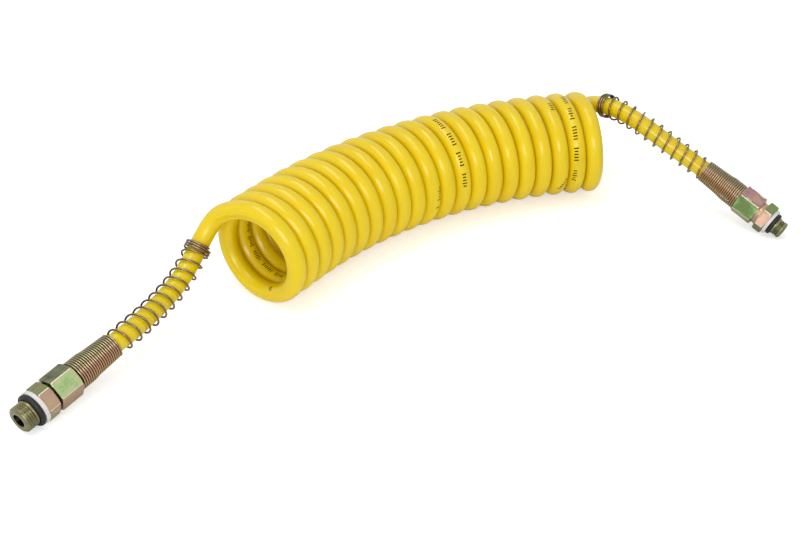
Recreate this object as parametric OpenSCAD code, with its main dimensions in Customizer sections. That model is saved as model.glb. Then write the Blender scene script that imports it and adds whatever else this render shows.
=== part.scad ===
// Coiled polyurethane air hose with a screw connector at each end.
// Millimetres. +X runs along the coil from end A to end B, +Z is up, and the hose
// lies on Z = 0. Inside a connector, Z runs from the nose face back to the hose.

/* [Hose] */
// Outside diameter of the hose
hose_d = 12; // [10:0.5:13]
// Bore of the hose
hose_bore = 9; // [7:0.5:9.5]

/* [Coil] */
// Radius from the axis of the coil to the middle of the hose
coil_mean_r = 30.5; // [26:0.5:34]
// Full turns from the first near side to the last
coil_turns = 20; // [12:1:21]
// Radius of the bend that the coil lies in
coil_bend_r = 300; // [220:10:800]
// Turns at end A that lie side by side, without the bend
straight_turns = 2.5; // [0:0.5:6]
// Clear gap between two turns on the inner side of the bend
coil_gap = 0.48; // [0.45:0.01:1.2]

/* [Anti-kink spring] */
// Diameter of the spring wire
wire_d = 1.1; // [0.9:0.05:1.3]
// Clear gap between two close-wound turns
wire_gap = 0.42; // [0.42:0.01:0.6]
// Close-wound turns behind the nut
close_turns = 20; // [12:1:22]
// Open curls over the free hose
open_turns = 11; // [7:1:11]
// Distance from one open curl to the next at end A
open_pitch_a = 7.7; // [6:0.1:8]
// Distance from one open curl to the next at end B
open_pitch_b = 7.4; // [6:0.1:8]
// Close turns at the free end of the spring
end_turns = 3; // [2:0.5:4]
// Distance between the turns at the free end
end_pitch = 2.3; // [2.2:0.05:2.6]
// How much wider the open curls are than the tightest close turn, on the radius
spring_flare = 0.9; // [0.6:0.1:1.2]

/* [Connector A] */
// Outside diameter of the thread on the nose
thread_d_a = 16; // [14:0.5:17]
// Bore through the nose
nose_bore_a = 8; // [6:0.5:8]
// From the nose face to the hex
nose_len_a = 13.4; // [12:0.2:18]
// Thickness of the sealing ring
o_ring_a = 3; // [2:0.1:3.2]
// Outside diameter of the thrust ring
thrust_ring_d_a = 21; // [20:0.25:22]
// Length of the hex
hex_len_a = 8; // [6:0.2:12]
// Round neck between the hex and the nut
neck_len_a = 1.6; // [1:0.1:4]

/* [Connector B] */
// Outside diameter of the thread on the nose
thread_d_b = 12; // [11:0.5:14]
// Bore through the nose
nose_bore_b = 7; // [5:0.5:7]
// From the nose face to the hex
nose_len_b = 11.8; // [11:0.2:16]
// Thickness of the sealing ring
o_ring_b = 2.6; // [2:0.1:3]
// Outside diameter of the thrust ring
thrust_ring_d_b = 18; // [16:0.25:20]
// Length of the hex
hex_len_b = 6.4; // [6:0.2:12]
// Round neck between the hex and the nut
neck_len_b = 3.2; // [1:0.1:4]

/* [Both connectors] */
// Thickness of the thrust ring
thrust_ring_t = 2.4; // [1.6:0.1:3]
// Depth of the relief groove under the thread
groove_depth = 0.9; // [0.6:0.1:1.2]
// Bevel on the nose
nose_bevel = 1; // [0.5:0.1:1.5]
// How far the hose socket reaches into the hex
socket_depth = 4; // [2:0.5:5]
// Wall of the threaded socket around the hose
socket_wall = 2; // [1.5:0.1:2.5]
// Length of thread inside the nut
thread_len = 10; // [8:0.5:11]
// Wall of the nut over its thread, at the flats
nut_wall = 1.2; // [1:0.1:2]
// Length of the nut
nut_len = 15.4; // [14.6:0.2:18]
// Wall at the back of the nut
nut_back = 1.5; // [1.2:0.1:2.2]
// Bevel at the corners of both hexes
hex_bevel = 0.9; // [0.4:0.1:1.2]
// Length of the collar that carries the spring
collar_len = 4; // [2:0.5:6]
// Wall of that collar
collar_wall = 1; // [0.7:0.1:1.4]
// Wall of the clamping ring
clamp_wall = 1.3; // [1:0.1:1.5]
// Edge of the clamping ring at its front, before its cone
clamp_lip = 0.3; // [0.2:0.05:0.4]
// Wall of the support sleeve
sleeve_wall = 0.5; // [0.4:0.05:0.7]
// Length of the support sleeve
sleeve_len = 18; // [12:0.5:22]

/* [Clearances] */
// Gap between pieces that sit together
fit_gap = 0.1; // [0.05:0.01:0.15]
// Gap between pieces that turn or slide past each other
running_gap = 0.3; // [0.25:0.05:0.4]

/* [Hidden] */
$fn = 64;

// The coil's middle stands here, so that the whole hose is centred on the origin.
coil_mid = [50.2, 67, 0];

// Where the close-wound spring ends and each free tail begins, measured from the foot
// of the coil's axis at that end, with the way the connector points back from there.
tail_a = [-102.2, -14.7, 18.1];
heading_a = 19.5;
rise_a = 7.5;
tail_b = [42.2, -74.2, 31.8];
heading_b = 106.5;
rise_b = 23;

// Each tail's way from its connector to the coil, measured from the same foot.
route_a = [
    [-88.4, -9.9, 19.8], [-72.6, -1.6, 20.5], [-58.3, 5.8, 22.5], [-44, 13.2, 26.5],
    [-31.1, 20.8, 33.7], [-21.2, 25.1, 42.2], [-14.3, 25.7, 50.6]
];
route_b = [
    [36.9, -62.3, 38], [28.9, -48.8, 46.5], [21.4, -35.3, 55], [16.9, -22.8, 60],
    [14.4, -11.3, 62], [13.2, -0.8, 61.2], [13.4, 9.2, 58.2], [16.4, 18.2, 53.7],
    [19.9, 27.8, 45.2], [21, 32.5, 30.5], [18, 28.8, 15.8], [12.4, 20.2, 7.3]
];

// Turn of each hex about its own axis.
hex_roll_a = 24;
nut_roll_a = 19;
hex_roll_b = 24;
nut_roll_b = 15;

// Where the coil's first and last turns let go, from the top toward the inner side.
coil_from = -25;
coil_to = 360 * coil_turns + 180;

coil_sides = 6;
coil_rings = 17;
tail_sides = 12;
tail_step = 9;
wire_sides = 4;
curl_rings = 8;
flat_half = 5;
mark_room = 6;
tail_lead = 10;

coil_pitch = (hose_d + coil_gap) * coil_bend_r / (coil_bend_r - coil_mean_r);
floor_flat = hose_d / 10;
coil_z = coil_mean_r + hose_d / 2 - floor_flat;

thread_out = hose_d + 2 * socket_wall;
nut_bore = thread_out + 2 * running_gap;
spanner = nut_bore + 2 * nut_wall;
nut_hole = hose_d + 2 * running_gap;
collar_d = nut_hole + 2 * collar_wall;
clamp_room = nut_len - nut_back;

close_pitch = wire_d + wire_gap;
close_len = close_turns * close_pitch;
spring_in = cos(180 / curl_rings);
spring_r_nut = (collar_d / 2 + running_gap + wire_d / 2) / spring_in;
spring_r_rear = (hose_d / 2 + fit_gap + wire_d / 2) / spring_in;
spring_r_open = spring_r_rear + spring_flare;
spring_seat = fit_gap + wire_d / 2;
collar_turns = (collar_len + wire_d) / close_pitch;

nut_at_a = nose_len_a + hex_len_a + neck_len_a;
nut_at_b = nose_len_b + hex_len_b + neck_len_b;
reach_a = nut_at_a + nut_len + spring_seat + close_len;
reach_b = nut_at_b + nut_len + spring_seat + close_len;

function unit(v) = v / norm(v);
function back_way(heading, rise) = [
    cos(heading) * cos(rise), sin(heading) * cos(rise), sin(rise)
];

// The coil: its axis is an arc that bends toward -Y, straight over its first turns, and
// p is the turn in degrees from the top toward the inner side of the bend.
function coil_count(p) = (p - 90) / 360;
function coil_turn(p) =
    coil_pitch * (max(coil_count(p), straight_turns) - coil_turns / 2) / coil_bend_r
        * 180 / PI;
function coil_before(p) = min(0, coil_count(p) - straight_turns) * (hose_d + coil_gap);
function coil_out(p) = let (t = coil_turn(p)) [
    -sin(t) * sin(p), -cos(t) * sin(p), cos(p)
];
function coil_foot(p) = let (t = coil_turn(p)) [
    coil_bend_r * sin(t) + coil_before(p) * cos(t),
    coil_bend_r * (cos(t) - 1) - coil_before(p) * sin(t), 0
];
function coil_point(p) = coil_foot(p) + [0, 0, coil_z] + coil_mean_r * coil_out(p);
function coil_way(p) = unit(coil_point(p + 0.5) - coil_point(p - 0.5));

coil_marks = [
    coil_from,
    for (k = [-1:coil_turns + 1], j = [0:coil_rings])
        let (p = 360 * k + 180 + flat_half + j * (360 - 2 * flat_half) / coil_rings)
            if (p > coil_from + mark_room && p < coil_to - mark_room) p,
    coil_to
];
coil_end_a = coil_point(coil_from) - hose_d * coil_way(coil_from);
coil_end_b = coil_point(coil_to) + hose_d * coil_way(coil_to);

// One ring of a tube's wall: middle m, way w, and the side s that its first corner takes.
function ring(m, w, s, r, sides) =
    let (u = unit(s - (s * w) * w), v = cross(w, u))
        [for (j = [0:sides - 1]) m + r * (cos(360 * j / sides) * u + sin(360 * j / sides) * v)];
function tube_faces(rings, sides) = concat(
    [for (j = [1:sides - 2]) [0, j, j + 1]],
    [for (i = [0:rings - 2], j = [0:sides - 1], h = [0, 1])
        let (a = i * sides + j, b = i * sides + (j + 1) % sides)
            h == 0 ? [a, b + sides, b] : [a, a + sides, b + sides]],
    [for (j = [1:sides - 2]) let (e = (rings - 1) * sides) [e, e + j + 1, e + j]]
);
module tube(rings) {
    sides = len(rings[0]);
    polyhedron(points = [for (r = rings) each r], faces = tube_faces(len(rings), sides));
}

// What would reach below the floor lies flat on it.
function laid(points) = [for (q = points) [q.x, q.y, max(0, q.z)]];

// The coil's rings stand with a corner along the axis, so that their outer sides are flat.
function coil_ring(m, p) =
    let (w = coil_way(p), s = cross(w, coil_out(p))) laid(ring(m, w, s, hose_d / 2, coil_sides));
coil_wall = [
    coil_ring(coil_end_a, coil_from),
    for (p = coil_marks) coil_ring(coil_point(p), p),
    coil_ring(coil_end_b, coil_to)
];

// A smooth line through a tail's points, with its length so far at each step.
line_steps = 10;
function bow(a, b, c, d, t) =
    0.5 * (2 * b + t * (c - a) + t * t * (2 * a - 5 * b + 4 * c - d)
        + t * t * t * (3 * b - a - 3 * c + d));
function smooth(pts) = [
    for (i = [1:len(pts) - 3], k = [0:line_steps - 1])
        bow(pts[i - 1], pts[i], pts[i + 1], pts[i + 2], k / line_steps),
    pts[len(pts) - 2]
];
function run(line, i = 0, so_far = 0) =
    i == len(line) ? [] :
    let (now = i == 0 ? 0 : so_far + norm(line[i] - line[i - 1]))
        concat([now], run(line, i + 1, now));
function axis_table(line, marks, k) = [for (i = [0:len(line) - 1]) [marks[i], line[i][k]]];
function tables(line) = let (marks = run(line))
    [axis_table(line, marks, 0), axis_table(line, marks, 1), axis_table(line, marks, 2),
        marks[len(marks) - 1]];
function tail_line(start, way, route, finish, finish_way) = tables(smooth(concat(
    [start - tail_lead * way, start], route, [finish, finish + tail_lead * finish_way])));

way_a = back_way(heading_a, rise_a);
way_b = back_way(heading_b, rise_b);
foot_a = coil_foot(coil_from);
foot_b = coil_foot(coil_to);
start_a = foot_a + tail_a;
start_b = foot_b + tail_b;
line_a = tail_line(start_a, way_a, [for (q = route_a) foot_a + q], coil_end_a,
    coil_way(coil_from));
line_b = tail_line(start_b, way_b, [for (q = route_b) foot_b + q], coil_end_b,
    -coil_way(coil_to));
side_a = [0, 0, 1];
side_b = [1, 0, 0];

// The line of the hose at a length u past the close-wound spring. Before that it is
// the connector's own axis.
function on_line(line, start, way, u) =
    u <= 0 ? start + u * way :
    [lookup(u, line[0]), lookup(u, line[1]), lookup(u, line[2])];
function line_way(line, start, way, u) =
    unit(on_line(line, start, way, u + 0.8) - on_line(line, start, way, u - 0.8));

function tail_wall(line, start, way, finish_way, side) =
    let (n = ceil(line[3] / tail_step))
        [for (i = [0:n])
            let (u = line[3] * i / n,
                w = i == 0 ? way : i == n ? finish_way : line_way(line, start, way, u))
                    laid(ring(on_line(line, start, way, u), w, side, hose_d / 2, tail_sides))];
wall_a = tail_wall(line_a, start_a, way_a, coil_way(coil_from), side_a);
wall_b = tail_wall(line_b, start_b, way_b, -coil_way(coil_to), side_b);

// The spring: t counts its turns from the nut.
spring_turns = close_turns + open_turns + end_turns;
function spring_run(pitch, t) = lookup(t, [
    [0, -close_len],
    [close_turns, 0],
    [close_turns + open_turns, open_turns * pitch],
    [spring_turns, open_turns * pitch + end_turns * end_pitch]
]);
function spring_r(t) = lookup(t, [
    [0, spring_r_nut], [collar_turns, spring_r_nut], [close_turns, spring_r_rear],
    [close_turns + 1.5, spring_r_open], [spring_turns, spring_r_open]
]);
function spring_point(line, start, way, side, pitch, t) =
    let (u = spring_run(pitch, t), w = u <= 0 ? way : line_way(line, start, way, u),
        x = unit(cross(w, side)), y = cross(w, x))
            on_line(line, start, way, u) + spring_r(t) * (cos(360 * t) * x + sin(360 * t) * y);
function spring_ring(line, start, way, side, pitch, t, on = 0) =
    let (q = spring_point(line, start, way, side, pitch, t),
        mid = on_line(line, start, way, spring_run(pitch, t)),
        w = unit(spring_point(line, start, way, side, pitch, t + 0.03)
            - spring_point(line, start, way, side, pitch, t - 0.03)))
                ring(q + on * w, w, q - mid, wire_d / 2, wire_sides);
function spring_wall(line, start, way, side, pitch) = [
    spring_ring(line, start, way, side, pitch, 0, -wire_d),
    for (i = [0:curl_rings * spring_turns])
        spring_ring(line, start, way, side, pitch, i / curl_rings),
    spring_ring(line, start, way, side, pitch, spring_turns, wire_d)
];

// Least clear gap between a winding and its next turn, measured at its points.
function next_gap(pts, n, d) = min([
    for (i = [0:len(pts) - n - 2], k = [-1:1]) norm(pts[i + n + k] - pts[i])
]) - d;
coil_fine = [for (p = [coil_from:5:coil_to]) coil_point(p)];
spring_fine_a = [for (t = [0:1 / 24:spring_turns])
    spring_point(line_a, start_a, way_a, side_a, open_pitch_a, t)];
spring_fine_b = [for (t = [0:1 / 24:spring_turns])
    spring_point(line_b, start_b, way_b, side_b, open_pitch_b, t)];
coil_len = len(coil_fine) < 2 ? 0 : run(coil_fine)[len(coil_fine) - 1];
hose_len = coil_len + 2 * hose_d + line_a[3] + line_b[3]
    + reach_a - nose_len_a - hex_len_a + socket_depth
    + reach_b - nose_len_b - hex_len_b + socket_depth;
echo(least_gap_coil = next_gap(coil_fine, 72, hose_d));
echo(least_gap_spring_a = next_gap(spring_fine_a, 24, wire_d));
echo(least_gap_spring_b = next_gap(spring_fine_b, 24, wire_d));
echo(coil_length = coil_len, hose_length = hose_len, tail_a = line_a[3], tail_b = line_b[3]);

// Puts a connector's own frame in its place: its nose face lies reach before the tail.
module at_end(start, heading, rise, reach) {
    translate(coil_mid + start - reach * back_way(heading, rise))
        rotate([0, 90 - rise, heading])
            children();
}
module at_a() {
    at_end(start_a, heading_a, rise_a, reach_a) children();
}
module at_b() {
    at_end(start_b, heading_b, rise_b, reach_b) children();
}

// A bevelled hex, from z to z + h.
module hex(z, h, roll) {
    corner = spanner / 2 / cos(30);
    edge = corner - hex_bevel;
    lip = hex_bevel * tan(30);
    intersection() {
        translate([0, 0, z])
            rotate([0, 0, roll])
                cylinder(h = h, r = corner, $fn = 6);
        rotate_extrude()
            polygon([[0, z], [edge, z], [corner, z + lip], [corner, z + h - lip],
                [edge, z + h], [0, z + h]]);
    }
}

module connector_body(thread_d, bore, nose_len, o_ring, hex_len, neck_len, roll) {
    r = thread_d / 2;
    groove_r = r - groove_depth;
    seat = nose_len - thrust_ring_t - o_ring - 2 * fit_gap;
    hex_end = nose_len + hex_len;
    stop = hex_end - socket_depth;
    back = hex_end + neck_len + thread_len;
    socket_r = hose_d / 2 + fit_gap;
    mouth = clamp_wall + fit_gap;
    color("#b5a552")
        difference() {
            union() {
                rotate_extrude()
                    polygon([[0, 0], [r - nose_bevel, 0], [r, nose_bevel], [r, seat],
                        [groove_r, seat], [groove_r, nose_len + 1], [0, nose_len + 1]]);
                hex(nose_len, hex_len, roll);
                translate([0, 0, hex_end - 1])
                    cylinder(h = back - hex_end + 1, d = thread_out);
            }
            translate([0, 0, -1])
                cylinder(h = stop + 2, d = bore);
            translate([0, 0, stop])
                cylinder(h = back - stop + 1, r = socket_r);
            translate([0, 0, back - mouth])
                rotate_extrude()
                    polygon([[0, 0], [socket_r, 0], [socket_r + mouth, mouth],
                        [socket_r + mouth, mouth + 1], [0, mouth + 1]]);
        }
}

module union_nut(nut_at, roll) {
    color("#9fb36a")
        difference() {
            union() {
                hex(nut_at, nut_len, roll);
                translate([0, 0, nut_at + nut_len - 1])
                    cylinder(h = collar_len + 1, d = collar_d);
            }
            translate([0, 0, nut_at - 1])
                cylinder(h = thread_len + 1 + running_gap, d = nut_bore);
            translate([0, 0, nut_at])
                cylinder(h = clamp_room, r = hose_d / 2 + fit_gap + clamp_wall + running_gap);
            translate([0, 0, nut_at])
                cylinder(h = nut_len + collar_len + 1, d = nut_hole);
        }
}

module thrust_ring(thread_d, od, nose_len) {
    color("#f4f2ec")
        translate([0, 0, nose_len - thrust_ring_t])
            difference() {
                cylinder(h = thrust_ring_t, d = od);
                translate([0, 0, -1])
                    cylinder(h = thrust_ring_t + 2, r = thread_d / 2 - groove_depth + fit_gap);
            }
}

module o_ring(thread_d, section, nose_len) {
    color("#1b1b1d")
        translate([0, 0, nose_len - thrust_ring_t - fit_gap - section / 2])
            rotate_extrude()
                translate([thread_d / 2 - groove_depth + fit_gap + section / 2, 0])
                    circle(d = section, $fn = 48);
}

module support_sleeve(nose_len, hex_len) {
    r = hose_bore / 2 - fit_gap;
    color("#c9a64a")
        translate([0, 0, nose_len + hex_len - socket_depth])
            difference() {
                cylinder(h = sleeve_len, r = r);
                translate([0, 0, -1])
                    cylinder(h = sleeve_len + 2, r = r - sleeve_wall);
            }
}

// The clamping ring's front cone sits in the mouth of the socket, its back on the nut.
module clamping_ring(nut_at) {
    r = hose_d / 2 + fit_gap;
    front = nut_at + thread_len - (clamp_wall + fit_gap - clamp_lip - running_gap);
    back = nut_at + clamp_room - fit_gap;
    color("#d0a850")
        rotate_extrude()
            polygon([[r, front], [r + clamp_lip, front],
                [r + clamp_wall, front + clamp_wall - clamp_lip],
                [r + clamp_wall, back], [r, back]]);
}

module hose_end(nose_len, hex_len, reach) {
    stop = nose_len + hex_len - socket_depth;
    color("#f2d21c")
        translate([0, 0, stop])
            difference() {
                cylinder(h = reach - stop, d = hose_d);
                translate([0, 0, -1])
                    cylinder(h = reach - stop + 2, d = hose_bore);
            }
}

module hose_coil() {
    color("#f2d21c") translate(coil_mid) tube(coil_wall);
}
module hose_tail_a() {
    color("#f2d21c") translate(coil_mid) tube(wall_a);
}
module hose_tail_b() {
    color("#f2d21c") translate(coil_mid) tube(wall_b);
}
module hose_end_a() {
    at_a() hose_end(nose_len_a, hex_len_a, reach_a);
}
module hose_end_b() {
    at_b() hose_end(nose_len_b, hex_len_b, reach_b);
}
module connector_body_a() {
    at_a() connector_body(thread_d_a, nose_bore_a, nose_len_a, o_ring_a, hex_len_a,
        neck_len_a, hex_roll_a);
}
module connector_body_b() {
    at_b() connector_body(thread_d_b, nose_bore_b, nose_len_b, o_ring_b, hex_len_b,
        neck_len_b, hex_roll_b);
}
module union_nut_a() {
    at_a() union_nut(nut_at_a, nut_roll_a);
}
module union_nut_b() {
    at_b() union_nut(nut_at_b, nut_roll_b);
}
module thrust_ring_a() {
    at_a() thrust_ring(thread_d_a, thrust_ring_d_a, nose_len_a);
}
module thrust_ring_b() {
    at_b() thrust_ring(thread_d_b, thrust_ring_d_b, nose_len_b);
}
module sealing_ring_a() {
    at_a() o_ring(thread_d_a, o_ring_a, nose_len_a);
}
module sealing_ring_b() {
    at_b() o_ring(thread_d_b, o_ring_b, nose_len_b);
}
module support_sleeve_a() {
    at_a() support_sleeve(nose_len_a, hex_len_a);
}
module support_sleeve_b() {
    at_b() support_sleeve(nose_len_b, hex_len_b);
}
module clamping_ring_a() {
    at_a() clamping_ring(nut_at_a);
}
module clamping_ring_b() {
    at_b() clamping_ring(nut_at_b);
}
module anti_kink_spring_a() {
    color("#b08d6a") translate(coil_mid)
        tube(spring_wall(line_a, start_a, way_a, side_a, open_pitch_a));
}
module anti_kink_spring_b() {
    color("#b08d6a") translate(coil_mid)
        tube(spring_wall(line_b, start_b, way_b, side_b, open_pitch_b));
}

hose_coil();
hose_tail_a();
hose_tail_b();
hose_end_a();
hose_end_b();
connector_body_a();
union_nut_a();
thrust_ring_a();
sealing_ring_a();  // o_ring_a
support_sleeve_a();
clamping_ring_a();
anti_kink_spring_a();
connector_body_b();
union_nut_b();
thrust_ring_b();
sealing_ring_b();  // o_ring_b
support_sleeve_b();
clamping_ring_b();
anti_kink_spring_b();
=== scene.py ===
import math

import bpy
import numpy as np
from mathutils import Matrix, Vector


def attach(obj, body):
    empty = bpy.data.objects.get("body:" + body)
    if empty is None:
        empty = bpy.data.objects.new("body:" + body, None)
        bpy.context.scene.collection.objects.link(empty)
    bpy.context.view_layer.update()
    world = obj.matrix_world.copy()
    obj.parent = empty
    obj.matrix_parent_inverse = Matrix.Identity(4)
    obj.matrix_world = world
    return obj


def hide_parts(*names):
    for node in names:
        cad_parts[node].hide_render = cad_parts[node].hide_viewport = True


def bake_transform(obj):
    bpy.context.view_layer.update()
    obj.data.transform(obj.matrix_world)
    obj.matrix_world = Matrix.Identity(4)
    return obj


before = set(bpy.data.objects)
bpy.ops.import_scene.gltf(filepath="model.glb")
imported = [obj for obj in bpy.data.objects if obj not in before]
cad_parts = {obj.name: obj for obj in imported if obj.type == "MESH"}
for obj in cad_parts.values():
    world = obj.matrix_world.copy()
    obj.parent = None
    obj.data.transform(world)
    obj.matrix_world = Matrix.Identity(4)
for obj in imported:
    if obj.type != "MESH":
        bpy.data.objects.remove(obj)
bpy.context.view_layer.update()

# ---------------------------------------------------------------- sizes, metres and degrees
# The hose and its coil, as the solids have them.
HOSE_R = 0.006
BORE_R = 0.0045
COIL_R = 0.0305
COIL_TURNS = 20
STRAIGHT_TURNS = 2.5
BEND_R = 0.300
COIL_GAP = 0.00048
FLOOR_FLAT = 0.0012
COIL_PITCH = (2 * HOSE_R + COIL_GAP) * BEND_R / (BEND_R - COIL_R)
COIL_Z = COIL_R + HOSE_R - FLOOR_FLAT
COIL_MID = np.array((0.0502, 0.067, 0.0))
COIL_FROM = -25.0
COIL_TO = 360.0 * COIL_TURNS + 180.0
TAIL_LEAD = 0.010

# Each tail from its connector to the coil, measured from the foot of the coil's axis.
TAILS = {
    "a": {"start": (-0.1022, -0.0147, 0.0181), "heading": 19.5, "rise": 7.5,
          "side": (0, 0, 1),
          "route": [(-0.0884, -0.0099, 0.0198), (-0.0726, -0.0016, 0.0205),
                    (-0.0583, 0.0058, 0.0225), (-0.0440, 0.0132, 0.0265),
                    (-0.0311, 0.0208, 0.0337), (-0.0212, 0.0251, 0.0422),
                    (-0.0143, 0.0257, 0.0506)]},
    "b": {"start": (0.0422, -0.0742, 0.0318), "heading": 106.5, "rise": 23.0,
          "side": (1, 0, 0),
          "route": [(0.0369, -0.0623, 0.0380), (0.0289, -0.0488, 0.0465),
                    (0.0214, -0.0353, 0.0550), (0.0169, -0.0228, 0.0600),
                    (0.0144, -0.0113, 0.0620), (0.0132, -0.0008, 0.0612),
                    (0.0134, 0.0092, 0.0582), (0.0164, 0.0182, 0.0537),
                    (0.0199, 0.0278, 0.0452), (0.0210, 0.0325, 0.0305),
                    (0.0180, 0.0288, 0.0158), (0.0124, 0.0202, 0.0073)]},
}

# The two connectors, from the nose face back.
ENDS = {
    "a": {"thread_r": 0.0080, "bore_r": 0.0040, "nose": 0.0134, "seal": 0.0030,
          "ring_r": 0.0105, "hex": 0.0080, "neck": 0.0016, "hex_roll": 24, "nut_roll": 19},
    "b": {"thread_r": 0.0060, "bore_r": 0.0035, "nose": 0.0118, "seal": 0.0026,
          "ring_r": 0.0090, "hex": 0.0064, "neck": 0.0032, "hex_roll": 24, "nut_roll": 15},
}
RING_T = 0.0024
GROOVE = 0.0009
NOSE_BEVEL = 0.0010
SOCKET_DEPTH = 0.0040
SOCKET_R = 0.0061
SPIGOT_R = 0.0080
THREAD_LEN = 0.0100
THREAD_PITCH = 0.0015
THREAD_DEPTH = 0.00075
NUT_LEN = 0.0154
NUT_BORE_R = 0.0083
NUT_HOLE_R = 0.0063
CLAMP_ROOM = 0.0139
FLAT_R = 0.0095
HEX_BEVEL = 0.0009
CORNER_ROUND = 0.00035
COLLAR_LEN = 0.0040
COLLAR_R = 0.0073
CLAMP_WALL = 0.0013
CLAMP_LIP = 0.0003
SLEEVE_R = 0.0044
SLEEVE_WALL = 0.0005
SLEEVE_LEN = 0.0180
FIT = 0.0001
RUNNING = 0.0003
EASE = 0.00014
RING_EASE = 0.00035
EASE_MOST = 0.35
NUT_ROOM_R = 0.0078
BORE_BEVEL = 0.0003
HEX_RIM = 0.00006
GROOVE_SLANT = 0.0001
THREAD_FADE = 0.0008
THREAD_LEAD = 0.0002
THREAD_RELIEF = 0.0008
SPIGOT_RELIEF = 0.0004
NECK_SHARE = 0.9
THREAD_FLANK, THREAD_ROOT = 2.6, 0.15
THREAD_STEPS = 12
SEAL_SIDES = 24

# The springs.
WIRE_R = 0.00065
CLOSE_TURNS = 20
CLOSE_PITCH = 0.00152
OPEN_TURNS = 11
OPEN_PITCH = {"a": 0.0077, "b": 0.0074}
END_TURNS = 3
END_PITCH = 0.0017
SPRING_R_NUT = 0.0086
SPRING_R_PAST = 0.0080
SPRING_R_REAR = 0.0073
SPRING_R_OPEN = 0.0077
SPRING_R_END = 0.0080
SHOULDER_TURNS = 6.5
SHOULDER_DROP = 2.5
END_SPREAD = 0.0023
WIRE_SIDES = 12
WIRE_RINGS = 28
WIRE_CUT = 0.25
CLOSE_LEN = CLOSE_TURNS * CLOSE_PITCH
SPRING_SEAT = 0.00065
SPRING_TURNS = CLOSE_TURNS + OPEN_TURNS + END_TURNS

# How finely the hose is drawn, and over what lengths it is lifted and eased.
STEP = 0.001
COIL_EVERY = 2.0
RING_EVERY = 3
HOSE_SIDES = 36
LIFT_BEFORE = 0.060
LIFT_AFTER = (0.080, 0.165)
EASE_OVER = 0.006
GRIP_BEFORE, GRIP_AFTER = 0.004, 0.012
COIL_BLEND = 0.030
WAY_REACH = 0.0012

# The ink on the hose: ticks for each metre, the share of each step that a tick takes, the part
# of a group that each tick moves on, the share of a group that is printed, and where a run's
# soft edge lies round the hose, as a cosine.
TICKS_PER_METRE = 560.0
TICK_SHARE = 0.44
GROUP_STEP = 0.1371
GROUP_SHARE = 0.72
INK_EDGE, INK_SOFT = 0.90, 0.10

# The studio: a white floor that is lifted for the camera alone, an even white world, and the
# camera.
FLOOR_HALF = 6.0
FLOOR_DROP = 0.0002
FLOOR_LIFT = 0.47
WORLD_LEVEL = 0.53
LENS, SENSOR = 54.56, 36.0
CAMERA_AT = (-0.3747, -0.5314, 0.4284)
CAMERA_TO = (0.0127, 0.0201, 0)


def unit(v):
    """Each vector, made 1 long."""
    v = np.asarray(v, float)
    return v / np.linalg.norm(v, axis=-1, keepdims=True)


# ---------------------------------------------------------------- the line of the hose
# A place p on the coil is an angle along its winding: at 0 it is on top of a turn, and at 90 on
# the inner side of the coil's bend.
def coil_count(p):
    """The number of turns from place 90 to p."""
    return (p - 90) / 360


def coil_turn(p):
    """The angle round the bend from the coil's middle, in radians."""
    return COIL_PITCH * (np.maximum(coil_count(p), STRAIGHT_TURNS) - COIL_TURNS / 2) / BEND_R


def coil_out(p):
    """The direction from the coil's axis out to the hose."""
    t, a = coil_turn(p), np.radians(p)
    return np.stack([-np.sin(t) * np.sin(a), -np.cos(t) * np.sin(a), np.cos(a)], axis=-1)


def coil_foot(p):
    """The place on the floor under the coil's axis."""
    t = coil_turn(p)
    before = np.minimum(0, coil_count(p) - STRAIGHT_TURNS) * (2 * HOSE_R + COIL_GAP)
    return COIL_MID + np.stack([BEND_R * np.sin(t) + before * np.cos(t),
                                BEND_R * (np.cos(t) - 1) - before * np.sin(t), 0 * t], axis=-1)


def coil_point(p):
    return coil_foot(p) + (0, 0, COIL_Z) + COIL_R * coil_out(p)


def coil_way(p):
    """The direction in which the hose runs."""
    return unit(coil_point(p + 0.5) - coil_point(p - 0.5))


def bow(points, steps=10):
    """A smooth line through all points but the first and last."""
    line = []
    for a, b, c, d in zip(points, points[1:], points[2:], points[3:]):
        for k in range(steps):
            t = k / steps
            line.append(0.5 * (2 * b + t * (c - a) + t * t * (2 * a - 5 * b + 4 * c - d)
                               + t ** 3 * (3 * b - a - 3 * c + d)))
    return np.array(line + [points[-2]])


def back_way(heading, rise):
    """The direction from a connector's nose back along its hose."""
    h, r = math.radians(heading), math.radians(rise)
    return np.array((math.cos(h) * math.cos(r), math.sin(h) * math.cos(r), math.sin(r)))


def lengths(line):
    """How far along a line each of its points lies."""
    return np.concatenate([[0], np.cumsum(np.linalg.norm(np.diff(line, axis=0), axis=1))])


for end, foot in (("a", coil_foot(np.array(COIL_FROM))), ("b", coil_foot(np.array(COIL_TO)))):
    tail, size = TAILS[end], ENDS[end]
    tail["way"] = back_way(tail["heading"], tail["rise"])
    tail["at"] = foot + tail["start"]
    tail["points"] = [foot + q for q in tail["route"]]
    size["nut_at"] = size["nose"] + size["hex"] + size["neck"]
    size["stop"] = size["nose"] + size["hex"] - SOCKET_DEPTH
    size["reach"] = size["nut_at"] + NUT_LEN + SPRING_SEAT + CLOSE_LEN


def tail_line(end, finish, finish_way):
    """The hose from its stop in the connector, along its axis and through the tail."""
    tail, size = TAILS[end], ENDS[end]
    inside = size["reach"] - size["stop"]
    axis = [tail["at"] - k * tail["way"] for k in np.arange(inside, 0, -STEP)]
    free = bow([tail["at"] - TAIL_LEAD * tail["way"], tail["at"], *tail["points"],
                finish, finish + TAIL_LEAD * finish_way])
    return np.vstack([axis, free]), inside


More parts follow.
